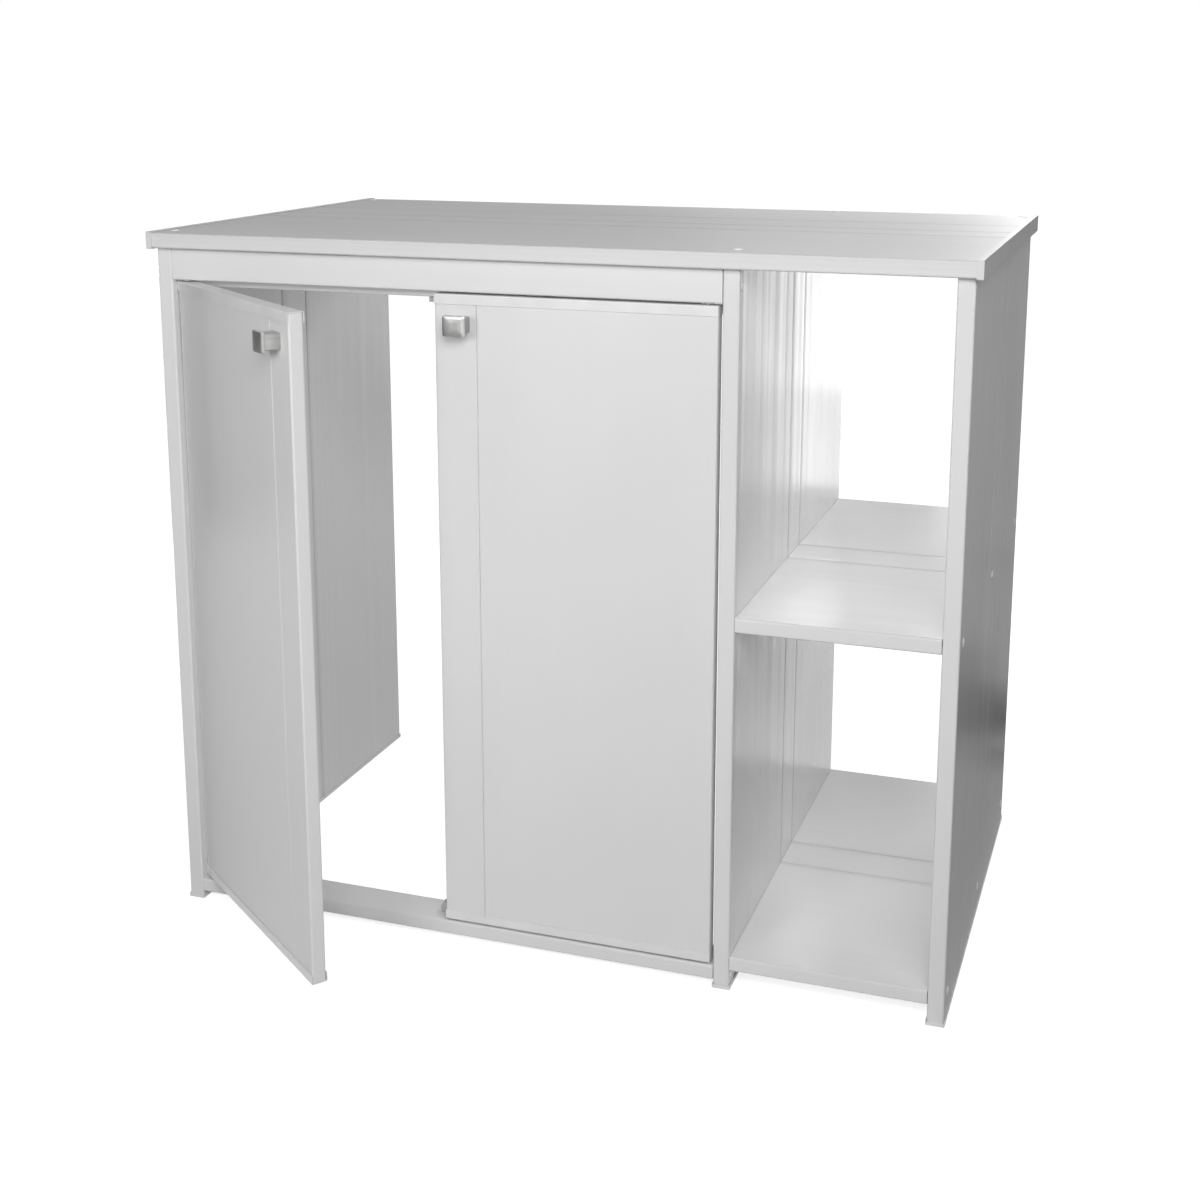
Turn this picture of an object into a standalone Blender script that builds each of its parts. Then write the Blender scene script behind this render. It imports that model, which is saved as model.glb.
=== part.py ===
"""Cabinet that covers a washing machine, made of hollow extruded plastic planks.

A wide bay with two pivot-hung doors takes the machine, and a narrow bay beside it has two shelves.
The uprights, the shelves and the worktop are planks joined edge to edge by tongues and grooves.
Lengths are in metres. +X runs along the front to the right, +Y to the back and +Z up.
The origin lies on the floor under the middle of the divider's foot.
The left door stands open by LEFT_DOOR_OPEN_ANGLE and the right door is closed.
"""
import math

import bmesh
import bpy
from mathutils import Matrix, Vector

# Cabinet
OVERALL_HEIGHT = 0.940
CABINET_DEPTH = 0.640
MACHINE_BAY_WIDTH = 0.745
SHELF_BAY_WIDTH = 0.250
WORKTOP_SIDE_OVERHANG = 0.009
WORKTOP_FRONT_OVERHANG = 0.010

# Hollow planks
UPRIGHT_THICKNESS = 0.021
WORKTOP_THICKNESS = 0.020
SHELF_THICKNESS = 0.019
DOOR_THICKNESS = 0.0185
FASCIA_THICKNESS = 0.020
RAIL_THICKNESS = 0.019
SKIN = 0.0015
RIB = 0.0012
CHAMBER_PITCH = 0.036
EDGE_RADIUS = 0.0025
SEAM_CHAMFER = 0.0010
GROOVE_DEPTH = 0.0060
GROOVE_WIDTH = 0.0080
TONGUE_CHAMFER = 0.0008

# Widths of the planks
JOINT_STRIP_WIDTH = 0.070
WORKTOP_BACK_STRIP_WIDTH = 0.100
NARROW_PLANK_WIDTH = 0.056
RAIL_DEPTH = 0.055

# Gap between pieces that touch
CLEARANCE = 0.0003

# Shelves and rail, heights above the floor
MIDDLE_SHELF_TOP = 0.494
BOTTOM_SHELF_TOP = 0.045
RAIL_TOP = 0.029

# Fascia under the worktop
FASCIA_HEIGHT = 0.0414

# Door stop strip behind the fascia
STOP_STRIP_DROP = 0.0100
STOP_STRIP_HEIGHT = 0.040
STOP_STRIP_THICKNESS = 0.010
STOP_STRIP_END_INSET = 0.034

# Caps on plank ends
CAP_WALL = 0.0010
CAP_CORNER_RADIUS = 0.0015
FOOT_CAP_HEIGHT = 0.005
WORKTOP_CAP_DEPTH = 0.008
DOOR_CAP_LEG = 0.0125

# Doors
DOOR_SIDE_GAP = 0.0045
DOOR_MEETING_GAP = 0.005
DOOR_TOP_GAP = 0.0025
DOOR_BOTTOM_GAP = 0.0040
LEFT_DOOR_OPEN_ANGLE = math.radians(38)

# Pivots
PIVOT_INSET = 0.014
PIN_RADIUS = 0.0022
PIN_BUSH_DEPTH = 0.008
PLUG_LENGTH = 0.024
BUSH_BARREL_RADIUS = 0.0045
BUSH_BARREL_LENGTH = 0.010
BUSH_FLANGE_RADIUS = 0.0065
BUSH_FLANGE_THICKNESS = 0.0010

# Knobs
KNOB_WIDTH = 0.030
KNOB_HEIGHT = 0.0265
KNOB_DEPTH = 0.025
KNOB_HEAD_DEPTH = 0.0038
KNOB_CROWN = 0.0010
KNOB_STEM_WIDTH = 0.023
KNOB_STEM_HEIGHT = 0.0200
KNOB_FROM_FREE_EDGE = 0.036
KNOB_FROM_DOOR_TOP = 0.0365
KNOB_BORE_DEPTH = 0.012
KNOB_SCREW_RADIUS = 0.0020
KNOB_SCREW_HEAD_RADIUS = 0.0042
KNOB_SCREW_HEAD_HEIGHT = 0.0020
KNOB_SCREW_ENGAGEMENT = 0.010
KNOB_CORNER_SHARE = 1 / 9
KNOB_LIP_SHARE = 1 / 5

# Catches behind the doors' meeting line
CATCH_WIDTH = 0.028
CATCH_DEPTH = 0.014
TOP_CATCH_HEIGHT = 0.0085
BOTTOM_CATCH_HEIGHT = 0.012
CATCH_EDGE_RADIUS = 0.0010
CATCH_LIP_DEPTH = 0.0025
CATCH_LIP_HEIGHT = 0.0022
STRIKE_WIDTH = 0.010
STRIKE_HEIGHT = 0.0040
STRIKE_CORNER_RADIUS = 0.0012
STRIKE_THICKNESS = 0.0006
STRIKE_FROM_FREE_EDGE = 0.0015
STRIKE_BELOW_STOP_STRIP = 0.0008
STRIKE_FROM_DOOR_BOTTOM = 0.0020

# Fineness of round forms
EDGE_STEPS = 3
ROUND_SIDES = 20
KNOB_CORNER_STEPS = 5
KNOB_CROWN_STEPS = 3
SHARP_ANGLE = math.radians(30)

# Extra reach of a cutter past the face it cuts
CUT_OVERRUN = 0.0005

X_AXIS = Vector((1, 0, 0))
Y_AXIS = Vector((0, 1, 0))
Z_AXIS = Vector((0, 0, 1))

# Places worked out from the sizes above
FRONT = -CABINET_DEPTH / 2
BACK = CABINET_DEPTH / 2
DIVIDER_LEFT = -UPRIGHT_THICKNESS / 2
DIVIDER_RIGHT = UPRIGHT_THICKNESS / 2
BAY_LEFT = DIVIDER_LEFT - MACHINE_BAY_WIDTH
BAY_MIDDLE = (BAY_LEFT + DIVIDER_LEFT) / 2
LEFT_SIDE = BAY_LEFT - UPRIGHT_THICKNESS
SHELF_BAY_RIGHT = DIVIDER_RIGHT + SHELF_BAY_WIDTH
RIGHT_SIDE = SHELF_BAY_RIGHT + UPRIGHT_THICKNESS
CAP_PROUD = CAP_WALL + CLEARANCE
WORKTOP_TOP = OVERALL_HEIGHT - CAP_PROUD
WORKTOP_UNDERSIDE = WORKTOP_TOP - WORKTOP_THICKNESS
FASCIA_TOP = WORKTOP_UNDERSIDE - CLEARANCE
FASCIA_BOTTOM = FASCIA_TOP - FASCIA_HEIGHT
DOOR_TOP = FASCIA_BOTTOM - DOOR_TOP_GAP
DOOR_BOTTOM = RAIL_TOP + DOOR_BOTTOM_GAP
DOOR_WIDTH = (MACHINE_BAY_WIDTH - 2 * DOOR_SIDE_GAP - DOOR_MEETING_GAP) / 2
DOOR_MIDDLE = FRONT + DOOR_THICKNESS / 2
FRAME_PLANK_WIDTH = (CABINET_DEPTH - JOINT_STRIP_WIDTH) / 2


def clear_scene():
    """Remove whatever the scene holds."""
    for obj in list(bpy.data.objects):
        bpy.data.objects.remove(obj, do_unlink=True)


def make_material(name, colour, roughness, metallic=0.0):
    """A plain surface of one colour."""
    material = bpy.data.materials.new(name)
    material.use_nodes = True
    shader = material.node_tree.nodes["Principled BSDF"]
    shader.inputs["Base Color"].default_value = (*colour, 1.0)
    shader.inputs["Roughness"].default_value = roughness
    shader.inputs["Metallic"].default_value = metallic
    material.diffuse_color = (*colour, 1.0)
    return material


def make_materials():
    """The surfaces that the cabinet's pieces share."""
    return {
        "white_plank": make_material("white_plank", (0.72, 0.73, 0.73), 0.35),
        "white_cap": make_material("white_cap", (0.78, 0.78, 0.78), 0.30),
        "grey_moulding": make_material("grey_moulding", (0.45, 0.45, 0.45), 0.50),
        "brushed_nickel": make_material("brushed_nickel", (0.52, 0.51, 0.49), 0.32, 1.0),
        "zinc_steel": make_material("zinc_steel", (0.60, 0.60, 0.61), 0.35, 1.0),
    }


def empty_at(name, location, turn=0.0):
    """An empty on a vertical axis, which carries what turns about it."""
    empty = bpy.data.objects.new(name, None)
    empty.location = location
    empty.rotation_euler = (0, 0, turn)
    bpy.context.scene.collection.objects.link(empty)
    return empty


def make_object(name, bm, material, location, rotation=None, parent=None, smooth=False):
    """Turn a finished bmesh into a named, placed and parented object."""
    bmesh.ops.recalc_face_normals(bm, faces=bm.faces)
    mesh = bpy.data.meshes.new(name)
    bm.to_mesh(mesh)
    bm.free()
    if smooth:
        mesh.shade_smooth()
        mesh.set_sharp_from_angle(angle=SHARP_ANGLE)
    mesh.materials.append(material)
    obj = bpy.data.objects.new(name, mesh)
    obj.location = location
    if rotation is not None:
        obj.rotation_euler = rotation
    obj.parent = parent
    bpy.context.scene.collection.objects.link(obj)
    return obj


def laid_along(width_axis, thickness_axis):
    """Rotation that lays a section's width and thickness along the two given directions."""
    length_axis = width_axis.cross(thickness_axis)
    return Matrix((width_axis, thickness_axis, length_axis)).transposed().to_euler()


def arc_points(centre_x, centre_y, radius, start, end, steps):
    """Points on an arc, both ends included."""
    points = []
    for step in range(steps + 1):
        angle = start + (end - start) * step / steps
        points.append((centre_x + radius * math.cos(angle), centre_y + radius * math.sin(angle)))
    return points


def right_edge_points(kind, thickness):
    """A plank section's right edge from bottom to top, with x counted from the edge."""
    half = thickness / 2
    if kind == "free":
        centre = half - EDGE_RADIUS
        lower = arc_points(-EDGE_RADIUS, -centre, EDGE_RADIUS, -math.pi / 2, 0, EDGE_STEPS)
        upper = arc_points(-EDGE_RADIUS, centre, EDGE_RADIUS, 0, math.pi / 2, EDGE_STEPS)
        return lower + upper
    lower = [(-SEAM_CHAMFER, -half), (0, -half + SEAM_CHAMFER)]
    upper = [(0, half - SEAM_CHAMFER), (-SEAM_CHAMFER, half)]
    if kind == "groove":
        side = GROOVE_WIDTH / 2
        middle = [(0, -side), (-GROOVE_DEPTH, -side), (-GROOVE_DEPTH, side), (0, side)]
        return lower + middle + upper
    if kind == "tongue":
        side = GROOVE_WIDTH / 2 - CLEARANCE
        reach = GROOVE_DEPTH
        middle = [
            (0, -side),
            (reach - TONGUE_CHAMFER, -side),
            (reach, -side + TONGUE_CHAMFER),
            (reach, side - TONGUE_CHAMFER),
            (reach - TONGUE_CHAMFER, side),
            (0, side),
        ]
        return lower + middle + upper
    return lower + upper


def plank_outline(width, thickness, left_kind, right_kind):
    """A plank section's outline, centred on the plank, anticlockwise."""
    half = width / 2
    right = [(half + x, y) for x, y in right_edge_points(right_kind, thickness)]
    left = [(-half - x, y) for x, y in reversed(right_edge_points(left_kind, thickness))]
    return right + left


def edge_wall(kind):
    """Depth from a plank's edge to its first chamber."""
    if kind == "groove":
        return GROOVE_DEPTH + SKIN
    return SKIN


def chamber_spans(width, left_kind, right_kind):
    """Left and right limits of each chamber across a plank that is centred on zero."""
    low = -width / 2 + edge_wall(left_kind)
    high = width / 2 - edge_wall(right_kind)
    count = max(1, round((high - low + RIB) / CHAMBER_PITCH))
    chamber = (high - low - (count - 1) * RIB) / count
    return [(low + i * (chamber + RIB), low + i * (chamber + RIB) + chamber) for i in range(count)]


def add_loop(bm, points):
    """Add a closed loop of edges in the plane z = 0 and return its edges."""
    verts = [bm.verts.new((x, y, 0)) for x, y in points]
    return [bm.edges.new((verts[i - 1], verts[i])) for i in range(len(verts))]


def extruded(loops, length):
    """A bmesh extruded from an outline with holes, centred on its length."""
    bm = bmesh.new()
    edges = []
    for points in loops:
        edges += add_loop(bm, points)
    bmesh.ops.triangle_fill(bm, edges=edges, use_beauty=True, use_dissolve=False)
    grown = bmesh.ops.extrude_face_region(bm, geom=list(bm.faces))
    top = [item for item in grown["geom"] if isinstance(item, bmesh.types.BMVert)]
    bmesh.ops.translate(bm, verts=top, vec=(0, 0, length))
    bmesh.ops.translate(bm, verts=list(bm.verts), vec=(0, 0, -length / 2))
    return bm


def plank_mesh(width, thickness, length, left_kind="free", right_kind="free"):
    """A hollow plank whose chambers run right through it, end to end."""
    loops = [plank_outline(width, thickness, left_kind, right_kind)]
    side = thickness / 2 - SKIN
    for low, high in chamber_spans(width, left_kind, right_kind):
        loops.append([(low, -side), (high, -side), (high, side), (low, side)])
    return extruded(loops, length)


def cylinder_mesh(radius, low, high):
    """A closed cylinder along z between two heights."""
    bm = bmesh.new()
    bmesh.ops.create_cone(
        bm, cap_ends=True, segments=ROUND_SIDES, radius1=radius, radius2=radius, depth=high - low
    )
    bmesh.ops.translate(bm, verts=list(bm.verts), vec=(0, 0, (low + high) / 2))
    return bm


def turned_mesh(profile):
    """A closed solid turned about z from radius and height pairs, bottom to top."""
    bm = bmesh.new()
    rings = []
    for radius, height in profile:
        ring = []
        for side in range(ROUND_SIDES):
            angle = 2 * math.pi * side / ROUND_SIDES
            ring.append(bm.verts.new((radius * math.cos(angle), radius * math.sin(angle), height)))
        rings.append(ring)
    bm.faces.new(list(reversed(rings[0])))
    for lower, upper in zip(rings, rings[1:]):
        for i in range(ROUND_SIDES):
            bm.faces.new((lower[i - 1], lower[i], upper[i], upper[i - 1]))
    bm.faces.new(rings[-1])
    return bm


def cutter(name, bm, location, rotation=None, parent=None):
    """A hidden object that a Boolean modifier cuts with."""
    obj = make_object(name, bm, bpy.data.materials["zinc_steel"], location, rotation, parent)
    obj.hide_render = True
    obj.display_type = "WIRE"
    return obj


def cut(obj, tool):
    """Cut one object with a hidden cutter."""
    boolean = obj.modifiers.new(tool.name, "BOOLEAN")
    boolean.operation = "DIFFERENCE"
    boolean.solver = "EXACT"
    boolean.object = tool


def rounded_rectangle(width, height, radius, steps):
    """Outline of a rectangle with round corners, centred, anticlockwise."""
    points = []
    corners = ((1, -1), (1, 1), (-1, 1), (-1, -1))
    for index, (side_x, side_y) in enumerate(corners):
        start = (index - 1) * math.pi / 2
        centre_x = side_x * (width / 2 - radius)
        centre_y = side_y * (height / 2 - radius)
        points += arc_points(centre_x, centre_y, radius, start, start + math.pi / 2, steps)
    return points


def tray_mesh(length, width, depth):
    """A shallow tray with its floor at z = 0 and its mouth at z = depth, which caps a plank's end."""
    bm = bmesh.new()
    outline = rounded_rectangle(length, width, CAP_CORNER_RADIUS, EDGE_STEPS)
    floor = bm.faces.new([bm.verts.new((x, y, 0)) for x, y in outline])
    walls = bmesh.ops.extrude_face_region(bm, geom=[floor])
    rim = [item for item in walls["geom"] if isinstance(item, bmesh.types.BMVert)]
    bmesh.ops.translate(bm, verts=rim, vec=(0, 0, depth))
    mouth = [item for item in walls["geom"] if isinstance(item, bmesh.types.BMFace)]
    bmesh.ops.inset_region(bm, faces=mouth, thickness=CAP_WALL, use_even_offset=True)
    sunk = bmesh.ops.extrude_face_region(bm, geom=mouth)
    inner = [item for item in sunk["geom"] if isinstance(item, bmesh.types.BMVert)]
    bmesh.ops.translate(bm, verts=inner, vec=(0, 0, CAP_WALL - depth))
    stale = [face for face in mouth if face.is_valid]
    bmesh.ops.delete(bm, geom=stale, context="FACES_ONLY")
    return bm


def channel_outline(inner_width, leg):
    """U-shaped section with its web at the top and its legs down, counted from the web's underside."""
    outer = inner_width / 2 + CAP_WALL
    inner = inner_width / 2
    top = CAP_WALL
    radius = CAP_CORNER_RADIUS
    points = [(inner, -leg), (outer, -leg)]
    points += arc_points(outer - radius, top - radius, radius, 0, math.pi / 2, EDGE_STEPS)
    points += arc_points(-outer + radius, top - radius, radius, math.pi / 2, math.pi, EDGE_STEPS)
    points += [(-outer, -leg), (-inner, -leg), (-inner, 0), (inner, 0)]
    return points


def build_panel(name, thickness, length, centre_x, centre_z, rotation, materials):
    """Front plank, joint strip and rear plank, side by side over the cabinet's depth."""
    plank_width = FRAME_PLANK_WIDTH - CLEARANCE
    plank_offset = (CABINET_DEPTH - plank_width) / 2
    pieces = (
        ("front_plank", plank_width, -plank_offset, "free", "groove"),
        ("joint_strip", JOINT_STRIP_WIDTH, 0.0, "tongue", "tongue"),
        ("rear_plank", plank_width, plank_offset, "groove", "free"),
    )
    for piece, width, centre_y, left_kind, right_kind in pieces:
        bm = plank_mesh(width, thickness, length, left_kind, right_kind)
        location = (centre_x, centre_y, centre_z)
        make_object(f"{name}_{piece}", bm, materials["white_plank"], location, rotation)


def build_upright(name, centre_x, materials):
    """An upright panel on its foot cap."""
    low = CAP_PROUD
    high = WORKTOP_UNDERSIDE - CLEARANCE
    rotation = laid_along(Y_AXIS, -X_AXIS)
    centre_z = (low + high) / 2
    build_panel(name, UPRIGHT_THICKNESS, high - low, centre_x, centre_z, rotation, materials)
    bm = tray_mesh(
        CABINET_DEPTH + 2 * CAP_PROUD, UPRIGHT_THICKNESS + 2 * CAP_PROUD, FOOT_CAP_HEIGHT
    )
    make_object(f"{name}_foot_cap", bm, materials["white_cap"], (centre_x, 0, 0), rotation)


def build_shelf(name, top, materials):
    """A shelf panel between the divider and the right upright."""
    length = SHELF_BAY_WIDTH - 2 * CLEARANCE
    centre_x = (DIVIDER_RIGHT + SHELF_BAY_RIGHT) / 2
    centre_z = top - SHELF_THICKNESS / 2
    rotation = laid_along(Y_AXIS, Z_AXIS)
    build_panel(name, SHELF_THICKNESS, length, centre_x, centre_z, rotation, materials)


def build_worktop(materials):
    """Four planks side by side along the cabinet's length, with a cap over each end."""
    rotation = laid_along(Y_AXIS, Z_AXIS)
    left = LEFT_SIDE - WORKTOP_SIDE_OVERHANG
    right = RIGHT_SIDE + WORKTOP_SIDE_OVERHANG
    length = right - left - 2 * CAP_PROUD
    centre_x = (left + right) / 2
    centre_z = (WORKTOP_TOP + WORKTOP_UNDERSIDE) / 2
    front = FRONT - WORKTOP_FRONT_OVERHANG
    front_seam = FRONT + FRAME_PLANK_WIDTH
    strip_end = front_seam + JOINT_STRIP_WIDTH
    back_strip_end = strip_end + WORKTOP_BACK_STRIP_WIDTH
    pieces = (
        ("front_plank", front, front_seam - CLEARANCE, "free", "groove"),
        ("joint_strip", front_seam, strip_end, "tongue", "tongue"),
        ("back_strip", strip_end + CLEARANCE, back_strip_end - CLEARANCE, "groove", "groove"),
        ("rear_plank", back_strip_end, BACK, "tongue", "free"),
    )
    for piece, low, high, left_kind, right_kind in pieces:
        bm = plank_mesh(high - low, WORKTOP_THICKNESS, length, left_kind, right_kind)
        location = (centre_x, (low + high) / 2, centre_z)
        make_object(f"worktop_{piece}", bm, materials["white_plank"], location, rotation)
    depth = BACK - front
    centre_y = (BACK + front) / 2
    caps = (
        ("worktop_left_end_cap", left, laid_along(Y_AXIS, Z_AXIS)),
        ("worktop_right_end_cap", right, laid_along(Y_AXIS, -Z_AXIS)),
    )
    for name, x, turn in caps:
        bm = tray_mesh(
            depth + 2 * CAP_PROUD, WORKTOP_THICKNESS + 2 * CAP_PROUD, WORKTOP_CAP_DEPTH
        )
        make_object(name, bm, materials["white_cap"], (x, centre_y, centre_z), turn)


def build_front_members(materials):
    """Fascia, door stop strip and bottom rail, which span the machine's bay."""
    length = MACHINE_BAY_WIDTH - 2 * CLEARANCE
    fascia_y = FRONT + FASCIA_THICKNESS / 2
    bm = plank_mesh(FASCIA_HEIGHT, FASCIA_THICKNESS, length)
    location = (BAY_MIDDLE, fascia_y, (FASCIA_TOP + FASCIA_BOTTOM) / 2)
    rotation = laid_along(Z_AXIS, -Y_AXIS)
    fascia = make_object("fascia", bm, materials["white_plank"], location, rotation)

    strip_length = MACHINE_BAY_WIDTH - 2 * STOP_STRIP_END_INSET
    strip_y = FRONT + FASCIA_THICKNESS + CLEARANCE + STOP_STRIP_THICKNESS / 2
    strip_z = FASCIA_BOTTOM - STOP_STRIP_DROP + STOP_STRIP_HEIGHT / 2
    bm = plank_mesh(STOP_STRIP_HEIGHT, STOP_STRIP_THICKNESS, strip_length)
    location = (BAY_MIDDLE, strip_y, strip_z)
    make_object("door_stop_strip", bm, materials["white_plank"], location, rotation)

    bm = plank_mesh(RAIL_DEPTH, RAIL_THICKNESS, length)
    location = (BAY_MIDDLE, FRONT + RAIL_DEPTH / 2, RAIL_TOP - RAIL_THICKNESS / 2)
    rotation = laid_along(Y_AXIS, Z_AXIS)
    rail = make_object("bottom_rail", bm, materials["white_plank"], location, rotation)
    return fascia, rail


def build_bush(name, carrier, location, facing, materials):
    """Flanged bush pressed into a hole that it cuts in its carrier. Facing is 1 for mouth up."""
    rotation = None if facing > 0 else (math.pi, 0, 0)
    hole_depth = BUSH_BARREL_LENGTH + CLEARANCE
    bm = cylinder_mesh(BUSH_BARREL_RADIUS + CLEARANCE, -hole_depth, CUT_OVERRUN)
    cut(carrier, cutter(f"{name}_seat_cutter", bm, location, rotation))
    bore = PIN_RADIUS + CLEARANCE
    bore_floor = -PIN_BUSH_DEPTH - CLEARANCE
    flange_low = CLEARANCE
    flange_high = flange_low + BUSH_FLANGE_THICKNESS
    profile = (
        (BUSH_BARREL_RADIUS, -BUSH_BARREL_LENGTH),
        (BUSH_BARREL_RADIUS, flange_low),
        (BUSH_FLANGE_RADIUS, flange_low),
        (BUSH_FLANGE_RADIUS, flange_high),
        (bore, flange_high),
        (bore, bore_floor),
    )
    bm = turned_mesh(profile)
    make_object(name, bm, materials["grey_moulding"], location, rotation, smooth=True)


def build_pivot(name, plank_end, up, bush_face, chamber, parent, materials):
    """Plug that fills the outer chamber of a door plank, with the pin that reaches the bush.

    Heights are in the hinge's frame, up is 1 at the door's top and -1 at its bottom, and chamber
    holds the chamber's limits along x.
    """
    low_x, high_x = chamber
    plug_width = high_x - low_x - 2 * CLEARANCE
    plug_depth = DOOR_THICKNESS - 2 * SKIN - 2 * CLEARANCE
    bm = bmesh.new()
    outline = rounded_rectangle(plug_width, plug_depth, EDGE_RADIUS, EDGE_STEPS)
    centre_x = (low_x + high_x) / 2
    face = bm.faces.new([bm.verts.new((centre_x + x, y, -PLUG_LENGTH)) for x, y in outline])
    grown = bmesh.ops.extrude_face_region(bm, geom=[face])
    top = [item for item in grown["geom"] if isinstance(item, bmesh.types.BMVert)]
    bmesh.ops.translate(bm, verts=top, vec=(0, 0, PLUG_LENGTH - CLEARANCE))
    rotation = None if up > 0 else (math.pi, 0, 0)
    location = (0, 0, plank_end)
    plug = make_object(name, bm, materials["zinc_steel"], location, rotation, parent)
    pin_end = abs(bush_face - plank_end) + PIN_BUSH_DEPTH
    bm = cylinder_mesh(PIN_RADIUS, -PLUG_LENGTH / 2, pin_end)
    union = plug.modifiers.new("pin", "BOOLEAN")
    union.operation = "UNION"
    union.solver = "EXACT"
    union.object = cutter(f"{name}_pin_form", bm, location, rotation, parent)


def knob_ring(width, height, corner, depth):
    """Ring of a knob's section at one depth, with x across, z up and y out of the door."""
    outline = rounded_rectangle(width, height, corner, KNOB_CORNER_STEPS)
    return [(x, depth, z) for x, z in outline]


def knob_mesh(outward):
    """Square knob: a plain stem with a thin, faintly crowned head."""
    head_start = KNOB_DEPTH - KNOB_CROWN - KNOB_HEAD_DEPTH
    head_end = head_start + KNOB_HEAD_DEPTH
    stem_corner = KNOB_STEM_HEIGHT * KNOB_CORNER_SHARE
    head_corner = KNOB_HEIGHT * KNOB_CORNER_SHARE
    lip = KNOB_HEAD_DEPTH * KNOB_LIP_SHARE
    face_width = KNOB_WIDTH - 2 * lip
    face_height = KNOB_HEIGHT - 2 * lip
    sections = [
        (KNOB_STEM_WIDTH, KNOB_STEM_HEIGHT, stem_corner, 0.0),
        (KNOB_STEM_WIDTH, KNOB_STEM_HEIGHT, stem_corner, head_start),
        (face_width, face_height, head_corner, head_start),
        (KNOB_WIDTH, KNOB_HEIGHT, head_corner, head_start + lip),
        (KNOB_WIDTH, KNOB_HEIGHT, head_corner, head_end - lip),
        (face_width, face_height, head_corner, head_end),
    ]
    for step in range(1, KNOB_CROWN_STEPS + 1):
        angle = math.pi / 2 * step / (KNOB_CROWN_STEPS + 1)
        width = face_width * math.cos(angle)
        height = face_height * math.cos(angle)
        depth = head_end + KNOB_CROWN * math.sin(angle)
        sections.append((width, height, height * KNOB_CORNER_SHARE, depth))
    bm = bmesh.new()
    rings = []
    for width, height, corner, depth in sections:
        points = knob_ring(width, height, corner, outward * depth)
        rings.append([bm.verts.new(point) for point in points])
    for inner, outer in zip(rings, rings[1:]):
        for i in range(len(inner)):
            bm.faces.new((inner[i - 1], inner[i], outer[i], outer[i - 1]))
    bm.faces.new(rings[0])
    bm.faces.new(rings[-1])
    return bm


def build_knob(side, plank, reach, parent, materials):
    """Knob on the door's face, held by a screw from the door's back through both of its skins."""
    x = reach * (DOOR_WIDTH - PIVOT_INSET - KNOB_FROM_FREE_EDGE)
    z = DOOR_TOP - KNOB_FROM_DOOR_TOP
    face = -DOOR_THICKNESS / 2
    back = DOOR_THICKNESS / 2
    along_y = laid_along(X_AXIS, -Z_AXIS)
    location = (x, face - CLEARANCE, z)
    bm = knob_mesh(-1)
    knob = make_object(
        f"{side}_knob", bm, materials["brushed_nickel"], location, None, parent, smooth=True
    )
    hole_radius = KNOB_SCREW_RADIUS + CLEARANCE
    bm = cylinder_mesh(hole_radius, -KNOB_BORE_DEPTH, CUT_OVERRUN)
    cut(knob, cutter(f"{side}_knob_bore_cutter", bm, location, along_y, parent))
    bm = cylinder_mesh(hole_radius, face - CUT_OVERRUN, back + CUT_OVERRUN)
    cut(plank, cutter(f"{side}_knob_hole_cutter", bm, (x, 0, z), along_y, parent))
    shank_end = face - CLEARANCE - KNOB_SCREW_ENGAGEMENT
    head_face = back + CLEARANCE
    profile = (
        (KNOB_SCREW_RADIUS, shank_end),
        (KNOB_SCREW_RADIUS, head_face),
        (KNOB_SCREW_HEAD_RADIUS, head_face),
        (KNOB_SCREW_HEAD_RADIUS, head_face + KNOB_SCREW_HEAD_HEIGHT / 2),
        (KNOB_SCREW_HEAD_RADIUS / 2, head_face + KNOB_SCREW_HEAD_HEIGHT),
    )
    bm = turned_mesh(profile)
    make_object(
        f"{side}_knob_screw", bm, materials["zinc_steel"], (x, 0, z), along_y, parent, smooth=True
    )


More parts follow.
